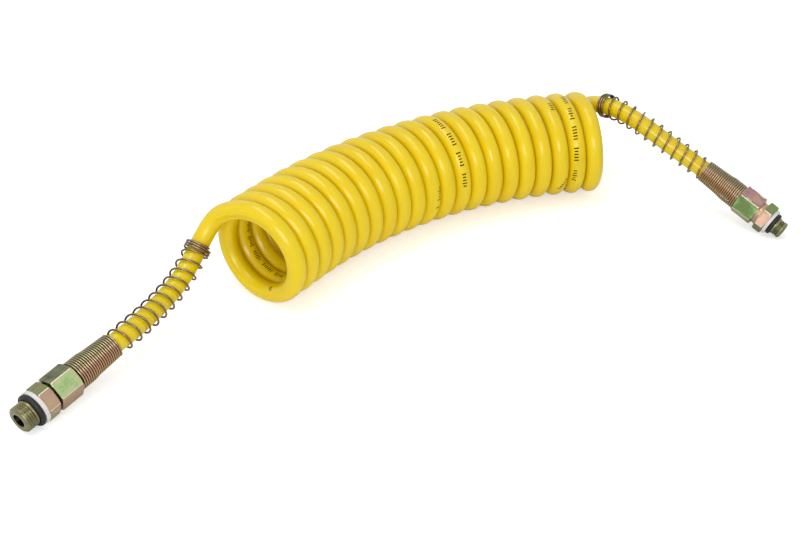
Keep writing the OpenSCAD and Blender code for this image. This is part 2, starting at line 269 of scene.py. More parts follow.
coil_turns = np.arange(COIL_FROM, COIL_TO + 0.1, COIL_EVERY)
coil_line = coil_point(coil_turns)
way_in, way_out = coil_way(np.array(COIL_FROM)), coil_way(np.array(COIL_TO))
line_a, inside_a = tail_line("a", coil_line[0] - 2 * HOSE_R * way_in, way_in)
line_b, inside_b = tail_line("b", coil_line[-1] + 2 * HOSE_R * way_out, -way_out)
whole = np.vstack([line_a, coil_line, line_b[::-1]])
along = lengths(whole)
coil_starts, coil_ends = along[len(line_a)], along[len(line_a) + len(coil_line) - 1]

count = int(round(along[-1] / STEP)) + 1
at = np.linspace(0, along[-1], count)
whole = np.stack([np.interp(at, along, whole[:, k]) for k in range(3)], axis=1)
turn_at = np.interp(at, along[len(line_a):len(line_a) + len(coil_line)], coil_turns)


def fade(x, lo, hi):
    """Rises smoothly from 0 at lo to 1 at hi."""
    t = np.clip((x - lo) / (hi - lo), 0, 1)
    return t * t * (3 - 2 * t)


# The round hose lies on the floor where the solid is cut flat.
low = (fade(at, coil_starts - LIFT_BEFORE, coil_starts)
       * fade(-at, -coil_ends - LIFT_AFTER[1], -coil_ends - LIFT_AFTER[0]))
whole[:, 2] += low * FLOOR_FLAT * np.clip((COIL_Z + COIL_R - whole[:, 2]) / (2 * COIL_R), 0, 1)

# A hose eases through its bends, so the tails and their joints with the coil are smoothed.
spread = 25
weights = np.exp(-0.5 * (np.arange(-spread, spread + 1) * STEP / EASE_OVER) ** 2)
weights /= weights.sum()
padded = np.vstack([whole[:1].repeat(spread, 0), whole, whole[-1:].repeat(spread, 0)])
eased_line = np.stack([np.convolve(padded[:, k], weights, "valid") for k in range(3)], axis=1)
loose = (fade(at, inside_a - GRIP_BEFORE, inside_a + GRIP_AFTER)
         * fade(-at, -(at[-1] - inside_b + GRIP_BEFORE), -(at[-1] - inside_b - GRIP_AFTER))
         * (1 - fade(at, coil_starts, coil_starts + COIL_BLEND)
            * fade(-at, -coil_ends, -coil_ends + COIL_BLEND)))
whole += loose[:, None] * (eased_line - whole)
at = lengths(whole)

HOSE_LENGTH = at[-1]


def hose_at(s):
    """Middle and way of the hose at lengths s from its stop in connector A."""
    def point(x):
        return np.stack([np.interp(x, at, whole[:, k]) for k in range(3)], axis=-1)
    return point(s), unit(point(s + WAY_REACH) - point(s - WAY_REACH))


# ---------------------------------------------------------------- meshes
def make_piece(name, points, faces, material, sharp=None):
    """A smooth-shaded object from points and faces, with its faces turned outward."""
    mesh = bpy.data.meshes.new(name)
    faces = np.asarray(faces)
    tri = points[faces[:, :3]]
    volume = np.einsum("ij,ij->i", tri[:, 0], np.cross(tri[:, 1], tri[:, 2])).sum()
    if faces.shape[1] == 4:
        tri = points[faces[:, [0, 2, 3]]]
        volume += np.einsum("ij,ij->i", tri[:, 0], np.cross(tri[:, 1], tri[:, 2])).sum()
    if volume < 0:
        faces = faces[:, ::-1]
    mesh.from_pydata(points.tolist(), [], faces.tolist())
    mesh.shade_smooth()
    if sharp:
        mesh.set_sharp_from_angle(angle=math.radians(sharp))
    mesh.materials.append(material)
    piece = bpy.data.objects.new(name, mesh)
    bpy.context.scene.collection.objects.link(piece)
    return piece


def looped_faces(rings, sides):
    """Faces between rings that close on themselves both ways."""
    i, j = np.meshgrid(np.arange(rings), np.arange(sides), indexing="ij")
    i2, j2 = (i + 1) % rings, (j + 1) % sides
    return np.stack([i * sides + j, i * sides + j2, i2 * sides + j2, i2 * sides + j],
                    axis=-1).reshape(-1, 4)


def keep_value(piece, name, values):
    """Keeps a number or a vector at each point, for the material to read."""
    values = np.asarray(values, np.float32)
    kind, field = ("FLOAT", "value") if values.ndim == 1 else ("FLOAT_VECTOR", "vector")
    made = piece.data.attributes.new(name, kind, "POINT")
    made.data.foreach_set(field, values.ravel())


# ---------------------------------------------------------------- finishes
# Most of a noise lies between these two, which are the From Min and From Max of a Map Range.
NOISE_SPAN = {1: 0.3, 2: 0.7}


def srgb(code):
    """A colour as written on a chart, turned to the linear values that light uses."""
    parts = [int(code[i:i + 2], 16) / 255 for i in (1, 3, 5)]
    return tuple(c / 12.92 if c <= 0.04045 else ((c + 0.055) / 1.055) ** 2.4 for c in parts) + (1,)


def add(tree, kind, sockets=None, **settings):
    """Adds a node with its settings, and links or sets its sockets."""
    made = tree.nodes.new("ShaderNode" + kind)
    for name, value in settings.items():
        setattr(made, name, value)
    for key, value in (sockets or {}).items():
        if isinstance(value, bpy.types.NodeSocket):
            tree.links.new(value, made.inputs[key])
        else:
            made.inputs[key].default_value = value
    return made


def new_material(name):
    material = bpy.data.materials.new(name)
    material.use_nodes = True
    tree = material.node_tree
    tree.nodes.clear()
    return material, tree


def set_ramp(ramp, stops):
    """Gives a colour ramp its stops, each a place and a colour."""
    steps = ramp.color_ramp.elements
    while len(steps) > 1:
        steps.remove(steps[0])
    steps[0].position, steps[0].color = stops[0][0], srgb(stops[0][1])
    for place, code in stops[1:]:
        step = steps.new(place)
        step.color = srgb(code)
    return ramp


def polyurethane():
    """Extruded polyurethane: soft gloss, a little light in its depth, faint draw lines."""
    material, tree = new_material("polyurethane_hose")
    place = add(tree, "Attribute", attribute_name="hose_place")
    # Draw lines run along the hose. Real ones are some 0.2 mm apart, too fine to show, so they
    # are drawn 1 mm apart.
    stretched = add(tree, "VectorMath", {0: place.outputs["Vector"], 1: (1.6, 2.8, 2.8)},
                    operation="MULTIPLY")
    lines = add(tree, "TexNoise", {"Vector": stretched.outputs[0], "Scale": 2.2, "Detail": 3.0})
    handled = add(tree, "VectorMath", {0: place.outputs["Vector"], 1: (28.0, 0.8, 0.8)},
                  operation="MULTIPLY")
    smudge = add(tree, "TexNoise", {"Vector": handled.outputs[0], "Scale": 1.0, "Detail": 4.0})
    tone = add(tree, "MapRange", {"Value": smudge.outputs[0], **NOISE_SPAN, 3: 0.0, 4: 1.0})
    yellow = add(tree, "Mix", {0: tone.outputs[0], 6: srgb("#eac80a"), 7: srgb("#f1d20f")},
                 data_type="RGBA")
    # Ink: rows of short plain ticks along the hose, 1.8 mm apart, in groups.
    ink = add(tree, "Attribute", attribute_name="ink")
    spot = add(tree, "SeparateXYZ", {0: place.outputs["Vector"]})
    count_ticks = add(tree, "Math", {0: spot.outputs[0], 1: TICKS_PER_METRE},
                      operation="MULTIPLY")
    share = add(tree, "Math", {0: count_ticks.outputs[0]}, operation="FRACT")
    number = add(tree, "Math", {0: count_ticks.outputs[0]}, operation="FLOOR")
    chance = add(tree, "TexWhiteNoise", {1: number.outputs[0]}, noise_dimensions="1D")
    tick = add(tree, "Math", {0: share.outputs[0], 1: TICK_SHARE}, operation="LESS_THAN")
    groups = add(tree, "Math", {0: number.outputs[0], 1: GROUP_STEP}, operation="MULTIPLY")
    group = add(tree, "Math", {0: groups.outputs[0]}, operation="FRACT")
    some = add(tree, "Math", {0: group.outputs[0], 1: GROUP_SHARE}, operation="LESS_THAN")
    printed = add(tree, "Math", {0: tick.outputs[0], 1: some.outputs[0]}, operation="MULTIPLY")
    height = add(tree, "MapRange", {0: chance.outputs[0], 1: 0.0, 2: 1.0, 3: 0.52, 4: 0.88})
    band = add(tree, "Math", {0: ink.outputs["Fac"], 1: height.outputs[0]},
               operation="GREATER_THAN")
    inked = add(tree, "Math", {0: printed.outputs[0], 1: band.outputs[0]}, operation="MULTIPLY")
    ink_wear_and_wire_shade = add(tree, "TexNoise", {"Vector": handled.outputs[0], "Scale": 9.0})
    strength = add(tree, "MapRange", {0: ink_wear_and_wire_shade.outputs[0], 1: 0.30, 2: 0.52, 3: 0.72, 4: 1.0})
    mark = add(tree, "Math", {0: inked.outputs[0], 1: strength.outputs[0]}, operation="MULTIPLY")
    colour = add(tree, "Mix", {0: mark.outputs[0], 6: yellow.outputs[2], 7: srgb("#1a0f00")},
                 data_type="RGBA")
    rough = add(tree, "MapRange", {0: smudge.outputs[0], **NOISE_SPAN, 3: 0.16, 4: 0.25})
    bump = add(tree, "Bump", {"Height": lines.outputs[0], "Strength": 0.60,
                              "Distance": 0.00024})
    # Dried ink is matt and opaque, on a hose that is neither.
    ink_rough = add(tree, "Mix", {0: mark.outputs[0], 2: rough.outputs[0], 3: 0.55},
                    data_type="FLOAT")
    ink_shine = add(tree, "MapRange", {0: mark.outputs[0], 3: 0.42, 4: 0.05})
    ink_depth = add(tree, "MapRange", {0: mark.outputs[0], 3: 0.35, 4: 0.0})
    shader = add(tree, "BsdfPrincipled", {
        "Base Color": colour.outputs[2], "Roughness": ink_rough.outputs[0], "IOR": 1.5,
        "Specular IOR Level": ink_shine.outputs[0], "Normal": bump.outputs[0],
        "Subsurface Weight": ink_depth.outputs[0],
        "Subsurface Radius": (1.0, 0.60, 0.06), "Subsurface Scale": 0.004})
    add(tree, "OutputMaterial", {0: shader.outputs[0]})
    return material


# How yellow passivation looks as its film thickens: olive, green, pale green, cream, tan, pink
# and mauve. Below them, near black, is painted shade for a bore and a shaded neck, and above
# them is a light cream for the corners of a hex.
PASSIVATED = [(0.00, "#1a140c"), (0.10, "#626a52"), (0.22, "#8c8664"), (0.36, "#6a8a50"),
              (0.50, "#a9c487"), (0.62, "#c8bf98"), (0.74, "#b8a07c"), (0.85, "#b89484"),
              (0.95, "#9c7680"), (1.00, "#ebe2c2")]


def passivated_zinc(name, gloss):
    """Yellow-passivated zinc plate on steel, turned from drawn hex bar: a thin film that
    shifts from green to gold and pink, with drawn streaks and fine turning marks. Where that
    tone lies is also painted light: painted reflection on each flat, painted shade in a bore."""
    material, tree = new_material(name)
    place = add(tree, "Attribute", attribute_name="turned_place")
    # This value holds the film's own tone together with painted reflection on each flat, and
    # painted shade in a bore and a shaded neck.
    film_and_painted_light = add(tree, "Attribute", attribute_name="film_and_painted_light")
    cloud = add(tree, "TexNoise", {"Vector": place.outputs["Vector"], "Scale": 200.0,
                                   "Detail": 4.0})
    # Drawn streaks run along the bar, about 1 mm wide.
    drawn = add(tree, "VectorMath", {0: place.outputs["Vector"], 1: (900.0, 900.0, 110.0)},
                operation="MULTIPLY")
    streak = add(tree, "TexNoise", {"Vector": drawn.outputs[0], "Scale": 1.0, "Detail": 3.0})
    shift = add(tree, "MapRange", {0: cloud.outputs[0], **NOISE_SPAN, 3: -0.055, 4: 0.055})
    more = add(tree, "MapRange", {0: streak.outputs[0], **NOISE_SPAN, 3: -0.035, 4: 0.035})
    moved = add(tree, "Math", {0: shift.outputs[0], 1: more.outputs[0]}, operation="ADD")
    depth = add(tree, "Math", {0: film_and_painted_light.outputs["Fac"], 1: moved.outputs[0]}, operation="ADD")
    tint = set_ramp(add(tree, "ValToRGB", {0: depth.outputs[0]}), PASSIVATED)
    # Turning marks 0.16 mm apart run round the axis.
    spot = add(tree, "SeparateXYZ", {0: place.outputs["Vector"]})
    round_r = add(tree, "VectorMath", {0: place.outputs["Vector"], 1: (1, 1, 0)},
                  operation="MULTIPLY")
    far = add(tree, "VectorMath", {0: round_r.outputs[0]}, operation="LENGTH")
    mixed = add(tree, "Math", {0: spot.outputs[2], 1: far.outputs["Value"]}, operation="ADD")
    marks = add(tree, "Math", {0: mixed.outputs[0], 1: 39000.0}, operation="MULTIPLY")
    wave = add(tree, "Math", {0: marks.outputs[0]}, operation="SINE")
    grain = add(tree, "TexNoise", {"Vector": place.outputs["Vector"], "Scale": 2600.0,
                                   "Detail": 2.0})
    relief = add(tree, "Math", {0: wave.outputs[0], 1: 0.35, 2: grain.outputs[0]},
                 operation="MULTIPLY_ADD")
    bump = add(tree, "Bump", {"Height": relief.outputs[0], "Strength": 0.30,
                              "Distance": 0.00003})
    rough = add(tree, "MapRange", {0: cloud.outputs[0], **NOISE_SPAN, 3: gloss,
                                   4: gloss + 0.10})
    shader = add(tree, "BsdfPrincipled", {
        "Base Color": tint.outputs[0], "Roughness": rough.outputs[0], "Metallic": 1.0,
        "Normal": bump.outputs[0]})
    add(tree, "OutputMaterial", {0: shader.outputs[0]})
    return material


def spring_wire():
    """Drawn steel wire, yellow passivated: olive on the spring's upper side, pinkish brown, and
    golden tan below, as painted reflection; darker on the open turns, and painted shade where
    the wire faces the hose and its neighbouring turns."""
    material, tree = new_material("passivated_spring_wire")
    place = add(tree, "Attribute", attribute_name="wire_place")
    # Painted light: the film value is painted reflection by side, and the next value holds the
    # darker open turns and the painted shade between turns.
    film_and_painted_light = add(tree, "Attribute", attribute_name="film_and_painted_light")
    open_dark_and_gap_shade = add(tree, "Attribute", attribute_name="open_dark_and_gap_shade")
    cloud = add(tree, "TexNoise", {"Vector": place.outputs["Vector"], "Scale": 1.6,
                                   "Detail": 4.0})
    shift = add(tree, "MapRange", {0: cloud.outputs[0], **NOISE_SPAN, 3: -0.16, 4: 0.16})
    depth = add(tree, "Math", {0: film_and_painted_light.outputs["Fac"], 1: shift.outputs[0]}, operation="ADD")
    tint = set_ramp(add(tree, "ValToRGB", {0: depth.outputs[0]}), [
        (0.20, "#bb9a5e"), (0.48, "#b8976c"), (0.62, "#b58a72"), (0.76, "#b29678"),
        (0.92, "#8e906a")])
    # Painted shade: the tone goes toward dark brown on the wire's inner side and on the open
    # turns.
    ink_wear_and_wire_shade = add(tree, "Mix", {0: open_dark_and_gap_shade.outputs["Fac"], 6: tint.outputs[0], 7: srgb("#43291a")},
               data_type="RGBA")
    rough = add(tree, "MapRange", {0: cloud.outputs[0], **NOISE_SPAN, 3: 0.18, 4: 0.30})
    shader = add(tree, "BsdfPrincipled", {
        "Base Color": ink_wear_and_wire_shade.outputs[2], "Roughness": rough.outputs[0], "Metallic": 1.0})
    add(tree, "OutputMaterial", {0: shader.outputs[0]})
    return material


def white_nylon():
    """Turned white nylon: matt, slightly deep, with a faint uneven grain."""
    material, tree = new_material("white_nylon")
    place = add(tree, "Attribute", attribute_name="turned_place")
    cloud = add(tree, "TexNoise", {"Vector": place.outputs["Vector"], "Scale": 400.0,
                                   "Detail": 3.0})
    tint = add(tree, "Mix", {0: cloud.outputs[0], 6: srgb("#d3d0ce"), 7: srgb("#e6e3e0")},
               data_type="RGBA")
    bump = add(tree, "Bump", {"Height": cloud.outputs[0], "Strength": 0.2,
                              "Distance": 0.00004})
    shader = add(tree, "BsdfPrincipled", {
        "Base Color": tint.outputs[2], "Roughness": 0.42, "IOR": 1.53,
        "Normal": bump.outputs[0], "Subsurface Weight": 0.1,
        "Subsurface Radius": (1.0, 0.95, 0.9), "Subsurface Scale": 0.001})
    add(tree, "OutputMaterial", {0: shader.outputs[0]})
    return material


def black_rubber():
    """Moulded nitrile rubber: near black, satin, with a fine bloom."""
    material, tree = new_material("nitrile_rubber")
    place = add(tree, "Attribute", attribute_name="turned_place")
    bloom = add(tree, "TexNoise", {"Vector": place.outputs["Vector"], "Scale": 900.0,
                                   "Detail": 3.0})
    tint = add(tree, "Mix", {0: bloom.outputs[0], 6: srgb("#0d0d0f"), 7: srgb("#1c1b1d")},
               data_type="RGBA")
    rough = add(tree, "MapRange", {0: bloom.outputs[0], **NOISE_SPAN, 3: 0.44, 4: 0.60})
    shader = add(tree, "BsdfPrincipled", {
        "Base Color": tint.outputs[2], "Roughness": rough.outputs[0], "IOR": 1.46})
    add(tree, "OutputMaterial", {0: shader.outputs[0]})
    return material


def plain_brass():
    """Drawn brass, unplated, lightly tarnished."""
    material, tree = new_material("drawn_brass")
    place = add(tree, "Attribute", attribute_name="turned_place")
    cloud = add(tree, "TexNoise", {"Vector": place.outputs["Vector"], "Scale": 300.0,
                                   "Detail": 3.0})
    tint = add(tree, "Mix", {0: cloud.outputs[0], 6: srgb("#b58f45"), 7: srgb("#d8b766")},
               data_type="RGBA")
    rough = add(tree, "MapRange", {0: cloud.outputs[0], **NOISE_SPAN, 3: 0.22, 4: 0.36})
    shader = add(tree, "BsdfPrincipled", {
        "Base Color": tint.outputs[2], "Roughness": rough.outputs[0], "Metallic": 1.0})
    add(tree, "OutputMaterial", {0: shader.outputs[0]})
    return material


HOSE_YELLOW = polyurethane()
BODY_PLATE = passivated_zinc("passivated_zinc_body", 0.26)
NUT_PLATE = passivated_zinc("passivated_zinc_nut", 0.22)
WIRE_PLATE = spring_wire()
NYLON = white_nylon()
RUBBER = black_rubber()
BRASS = plain_brass()


# ---------------------------------------------------------------- the hose
ring_index = np.arange(0, len(whole), RING_EVERY)
if ring_index[-1] != len(whole) - 1:
    ring_index = np.append(ring_index, len(whole) - 1)
ring_s = at[ring_index]
ring_mid, ring_way = hose_at(ring_s)
ring_mid[0], ring_mid[-1] = whole[0], whole[-1]
ring_turn = turn_at[ring_index]
ring_side = coil_out(ring_turn)
in_coil = (ring_turn > COIL_FROM + 1) & (ring_turn < COIL_TO - 1)
first, last = np.flatnonzero(in_coil)[[0, -1]]
# Past the coil, the hose's side is carried on from ring to ring without a twist.
for k, before in [*((k, k + 1) for k in range(first - 1, -1, -1)),
                  *((k, k - 1) for k in range(last + 1, len(ring_side)))]:
    side = ring_side[before]
    ring_side[k] = unit(side - (side @ ring_way[k]) * ring_way[k])
ring_side -= np.einsum("ij,ij->i", ring_side, ring_way)[:, None] * ring_way
ring_side = unit(ring_side)
ring_across = np.cross(ring_way, ring_side)
angle = np.arange(HOSE_SIDES) * 2 * math.pi / HOSE_SIDES


def wall(r):
    """Rings of points at radius r round the line of the hose."""
    return (ring_mid[:, None] + r * (np.cos(angle)[None, :, None] * ring_side[:, None]
                                     + np.sin(angle)[None, :, None] * ring_across[:, None]))


hose_points = np.concatenate([wall(HOSE_R), wall(BORE_R)[::-1]]).reshape(-1, 3)
hose = make_piece("hose", hose_points,
                  looped_faces(2 * len(ring_mid), HOSE_SIDES), HOSE_YELLOW, sharp=60)
both = np.concatenate([ring_s, ring_s[::-1]])
place = np.stack(np.broadcast_arrays(both[:, None], np.cos(angle), np.sin(angle)), axis=-1)
keep_value(hose, "hose_place", place.reshape(-1, 3))

# Where ink ticks run: from turn, to turn, and the side of the hose at each, 0 being outward.
INK_RUNS = [(4318, 4418, 8, 15), (3676, 3708, 325, 350), (6834, 6958, -5, 37),
            (6582, 6602, 310, 365), (6488, 6502, 345, 345), (518, 640, 165, 190),
            (280, 300, 70, 95), (148, 162, 145, 145)]
ink = np.zeros((len(both), HOSE_SIDES))
both_turn = np.concatenate([ring_turn, ring_turn[::-1]])
for start, stop, side, later in INK_RUNS:
    lies = np.radians(np.interp(both_turn, [start, stop], [side, later]))
    near = np.cos(angle[None] - lies[:, None])
    inside = (both_turn > start) & (both_turn < stop)
    ink = np.maximum(ink, inside[:, None] * np.clip((near - INK_EDGE) / INK_SOFT, 0, 1))
ink[len(ring_s):] = 0
keep_value(hose, "ink", ink.ravel())

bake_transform(hose)
share = np.clip((both_turn - COIL_FROM) / (COIL_TO - COIL_FROM), 0, 1).repeat(HOSE_SIDES)
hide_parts("hose_coil", "hose_tail_a", "hose_tail_b", "hose_end_a", "hose_end_b")


# ---------------------------------------------------------------- the connectors
def connector_frame(end):
    """The connector's own axes and nose face: its Z runs back along the hose."""
    tail = TAILS[end]
    h, r = math.radians(tail["heading"]), math.radians(tail["rise"])
    x = np.array((math.sin(r) * math.cos(h), math.sin(r) * math.sin(h), -math.cos(r)))
    y = np.array((-math.sin(h), math.cos(h), 0))
    return np.stack([x, y, tail["way"]]), tail["at"] - ENDS[end]["reach"] * tail["way"]


# The angles of the points in each sixth of a turned piece, closest at the corners of the hex.
SEXTANT = [0, 0.3, 0.6, 0.92, 1.4, 2.2, *np.linspace(3.5, 56.5, 15), 57.8, 58.6, 59.08, 59.4,
           59.7]
ROUND = np.radians(np.concatenate([np.array(SEXTANT) + 60 * k for k in range(6)]))


def hex_r(angles, flat):
    """How far a hex with slightly rounded corners reaches at each angle from a corner."""
    off = np.abs((angles + math.pi / 6) % (math.pi / 3) - math.pi / 6)
    middle = (flat - CORNER_ROUND) / math.cos(math.pi / 6)
    turn = math.atan2(CORNER_ROUND / 2, middle + CORNER_ROUND * math.cos(math.pi / 6))
    arc = middle * np.cos(off) + np.sqrt(
        np.maximum(CORNER_ROUND ** 2 - (middle * np.sin(off)) ** 2, 0))
    return np.where(off < turn, arc, flat / np.cos(math.pi / 6 - off))


def spun(*pairs):
    """A row of the profile for each (radius, height) pair, the same all round."""
    return [(np.full(len(ROUND), float(r)), np.full(len(ROUND), float(z)), True)
            for r, z in pairs]


def hex_rows(z, h):
    """The outside of a bevelled hex from z to z + h."""
    r = hex_r(ROUND, FLAT_R)
    edge = FLAT_R / math.cos(math.pi / 6) - HEX_BEVEL
    rim = np.minimum(r - HEX_RIM, edge)
    lip = (r - rim) * math.tan(math.pi / 6)
    between = [(r, z + lip + (h - 2 * lip) * t, False) for t in (0.1, 0.25, 0.5, 0.75, 0.9)]
    return [(rim, np.full(len(ROUND), z), True), (r, z + lip, True), *between,
            (r, z + h - lip, True), (rim, np.full(len(ROUND), z + h), True)]


def thread_rows(r, start, stop):
    """A rolled thread, 60 degrees, that fades in and out at its ends."""
    rows = []
    for z in np.arange(start, stop, THREAD_PITCH / THREAD_STEPS):
        phase = (z / THREAD_PITCH - ROUND / (2 * math.pi)) % 1
        ridge = np.clip(np.abs(phase - 0.5) * THREAD_FLANK - THREAD_ROOT, 0, 1)
        fading = min(1, (z - start) / THREAD_FADE, (stop - z) / THREAD_FADE)
        rows.append((r - THREAD_DEPTH * (1 - ridge) * fading, np.full(len(ROUND), z), False))
    return rows


def turned(name, end, rows, roll, material, film_and_painted_light=None, ease=EASE):
    """A turned piece from its closed profile, with its edges eased."""
    profile = np.array([np.stack([r, z], axis=-1) for r, z, _ in rows])
    eased = []
    for k, (_, _, cut) in enumerate(rows):
        here = profile[k]
        if not cut:
            eased.append(here)
            continue
        for other in (profile[k - 1], profile[(k + 1) % len(rows)]):
            gap = other - here
            far = np.linalg.norm(gap, axis=-1, keepdims=True)
            eased.append(here + gap / far * np.minimum(ease, EASE_MOST * far))
    profile = np.array(eased)
    turn = ROUND + math.radians(roll)
    r, z = profile[..., 0], profile[..., 1]
    own = np.stack([r * np.cos(turn), r * np.sin(turn), z], axis=-1)
    axes, origin = connector_frame(end)
    piece = make_piece(name, (own @ axes + origin).reshape(-1, 3),
                       looped_faces(len(profile), len(ROUND)), material, sharp=40)
    keep_value(piece, "turned_place", own.reshape(-1, 3))
    if film_and_painted_light is not None:
        keep_value(piece, "film_and_painted_light", film_and_painted_light(np.degrees(ROUND), r, z).ravel())
    return piece


# The film shifts toward the edges of a flat and is lighter at its corners. The margins keep
# each row of points on its own side of the hex's ends, the spigot and the bore.
EDGE_SHIFT, FLAT_SHIFT, FLAT_MOST = 0.10, 0.03, 0.95
CORNER_FROM, CORNER_LIGHT = 0.96, 1.1
HEX_MARGIN, SPIGOT_MARGIN, BORE_MARGIN = 0.0001, 0.0003, 0.0002


def film_and_painted_light_of(flats, nose, neck, hex_from, hex_to, inner_r):
    """The film value and painted light: its own on each flat of the hex, which also paints that
    flat's reflection, others on the round parts, and painted shade in a bore.
    """
    def film_and_painted_light(turn, r, z):
        edge = np.maximum(np.abs(turn % 60 / 30 - 1)[None],
                          np.abs(2 * (z - hex_from) / (hex_to - hex_from) - 1))
        flat = np.array(flats)[(turn // 60).astype(int) % 6]
        flat = flat + EDGE_SHIFT * edge ** 3 - FLAT_SHIFT
        flat = np.where(np.abs(turn % 60 / 30 - 1)[None] > CORNER_FROM, CORNER_LIGHT,
                        np.minimum(flat, FLAT_MOST))
        on_hex = ((z > hex_from - HEX_MARGIN) & (z < hex_to + HEX_MARGIN)
                  & (r > SPIGOT_R + SPIGOT_MARGIN))
        depth = np.where(on_hex, flat, np.where(z < hex_from, nose, neck))
        # Painted shade: a bore takes the near black end of the ramp.
        return np.where((r < inner_r) & (z > BORE_MARGIN), 0.0, depth)
    return film_and_painted_light


# Painted reflection: each flat of a hex has its own value, which gives the film's tone together
# with the lighter or darker reflection that flat shows.
FLATS = {"body_a": (0.40, 0.62, 0.24, 0.80, 0.70, 0.50),
         "body_b": (0.28, 0.82, 0.30, 0.62, 0.74, 0.45),
         "nut_a": (0.36, 0.66, 0.12, 0.51, 0.76, 0.56),
         "nut_b": (0.70, 0.37, 0.90, 0.55, 0.64, 0.30)}
NOSE_FILM = {"a": 0.21, "b": 0.24}
# Painted shade: connector A's neck, between hex and nut, takes the near black end of the ramp; B's
# keeps a film tone.
NECK_FILM_AND_SHADE = {"a": 0.06, "b": 0.80}
NUT_FILM = 0.6


def make_connector(end):
    """The turned pieces at one end of the hose."""
    size = ENDS[end]
    made = []
    thread_r, bore, nose = size["thread_r"], size["bore_r"], size["nose"]
    seat = nose - RING_T - size["seal"] - 2 * FIT
    groove_r = thread_r - GROOVE
    hex_end = nose + size["hex"]
    back = hex_end + size["neck"] + THREAD_LEN
    mouth = CLAMP_WALL + FIT
    rows = (spun((bore, BORE_BEVEL), (bore + BORE_BEVEL, 0), (thread_r - NOSE_BEVEL, 0),
                 (thread_r, NOSE_BEVEL))
            + thread_rows(thread_r, NOSE_BEVEL + THREAD_LEAD, seat - THREAD_RELIEF)
            + spun((thread_r, seat), (groove_r, seat + GROOVE_SLANT), (groove_r, nose))
            + hex_rows(nose, size["hex"])
            + spun((SPIGOT_R, hex_end))
            + thread_rows(SPIGOT_R, hex_end + size["neck"] * NECK_SHARE, back - SPIGOT_RELIEF)
            + spun((SPIGOT_R, back), (SOCKET_R + mouth, back), (SOCKET_R, back - mouth),
                   (SOCKET_R, size["stop"]), (bore, size["stop"])))
    made.append((turned("connector_" + end, end, rows, size["hex_roll"], BODY_PLATE,
                        film_and_painted_light_of(FLATS["body_" + end], NOSE_FILM[end], NECK_FILM_AND_SHADE[end], nose,
                                hex_end, bore + BORE_MARGIN)),
                 "connector_body_" + end, "plated_body"))

    nut = size["nut_at"]
    rows = (spun((NUT_BORE_R, nut))
            + hex_rows(nut, NUT_LEN)
            + spun((COLLAR_R, nut + NUT_LEN), (COLLAR_R, nut + NUT_LEN + COLLAR_LEN),
                   (NUT_HOLE_R, nut + NUT_LEN + COLLAR_LEN), (NUT_HOLE_R, nut + CLAMP_ROOM),
                   (NUT_ROOM_R, nut + CLAMP_ROOM), (NUT_ROOM_R, nut + THREAD_LEN + RUNNING),
                   (NUT_BORE_R, nut + THREAD_LEN + RUNNING)))
    made.append((turned("clamp_nut_" + end, end, rows, size["nut_roll"], NUT_PLATE,
                        film_and_painted_light_of(FLATS["nut_" + end], NUT_FILM, NUT_FILM, nut, nut + NUT_LEN,
                                COLLAR_R - BORE_MARGIN)),
                 "union_nut_" + end, "plated_nut"))

    rows = spun((groove_r + FIT, nose - RING_T), (size["ring_r"], nose - RING_T),
                (size["ring_r"], nose), (groove_r + FIT, nose))
    made.append((turned("white_ring_" + end, end, rows, 0, NYLON, ease=RING_EASE),
                 "thrust_ring_" + end, "white_ring"))

    half = size["seal"] / 2
    middle = (groove_r + FIT + half, nose - RING_T - FIT - half)
    rows = [(r, z, False) for r, z, _ in spun(*[
        (middle[0] + half * math.cos(t), middle[1] + half * math.sin(t))
        for t in np.arange(SEAL_SIDES) * math.pi / (SEAL_SIDES / 2)])]
    made.append((turned("rubber_ring_" + end, end, rows, 0, RUBBER), "o_ring_" + end,
                 "black_rubber"))

    rows = spun((SLEEVE_R - SLEEVE_WALL, size["stop"]), (SLEEVE_R, size["stop"]),
                (SLEEVE_R, size["stop"] + SLEEVE_LEN),
                (SLEEVE_R - SLEEVE_WALL, size["stop"] + SLEEVE_LEN))
    made.append((turned("inner_sleeve_" + end, end, rows, 0, BRASS), "support_sleeve_" + end,
                 "inner_brass"))

    front = nut + THREAD_LEN - (CLAMP_WALL + FIT - CLAMP_LIP - RUNNING)
    rear = nut + CLAMP_ROOM - FIT
    rows = spun((SOCKET_R, front), (SOCKET_R + CLAMP_LIP, front),
                (SOCKET_R + CLAMP_WALL, front + CLAMP_WALL - CLAMP_LIP),
                (SOCKET_R + CLAMP_WALL, rear), (SOCKET_R, rear))
    made.append((turned("squeezed_ring_" + end, end, rows, 0, BRASS), "clamping_ring_" + end,
                 "inner_brass"))
    body = {"a": "hose_and_end_a", "b": "end_b"}[end]
    for piece, node, slot in made:
        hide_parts(node)
        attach(piece, "nut_" + end if "nut" in node else body)
    return [piece for piece, _, _ in made]


# ---------------------------------------------------------------- the springs
# Painted reflection: the film value on the wire by the spring's upper and lower side. Then how
# much darker the open turns are, and the painted shade on the wire's inner side, between turns.
FILM_MID, SIDE_PAINTED_REFLECTION = 0.5, 0.4
OPEN_DARKER, INNER_PAINTED_SHADE = 0.38, 0.96
INNER_FROM, INNER_OVER = 0.90, 0.65


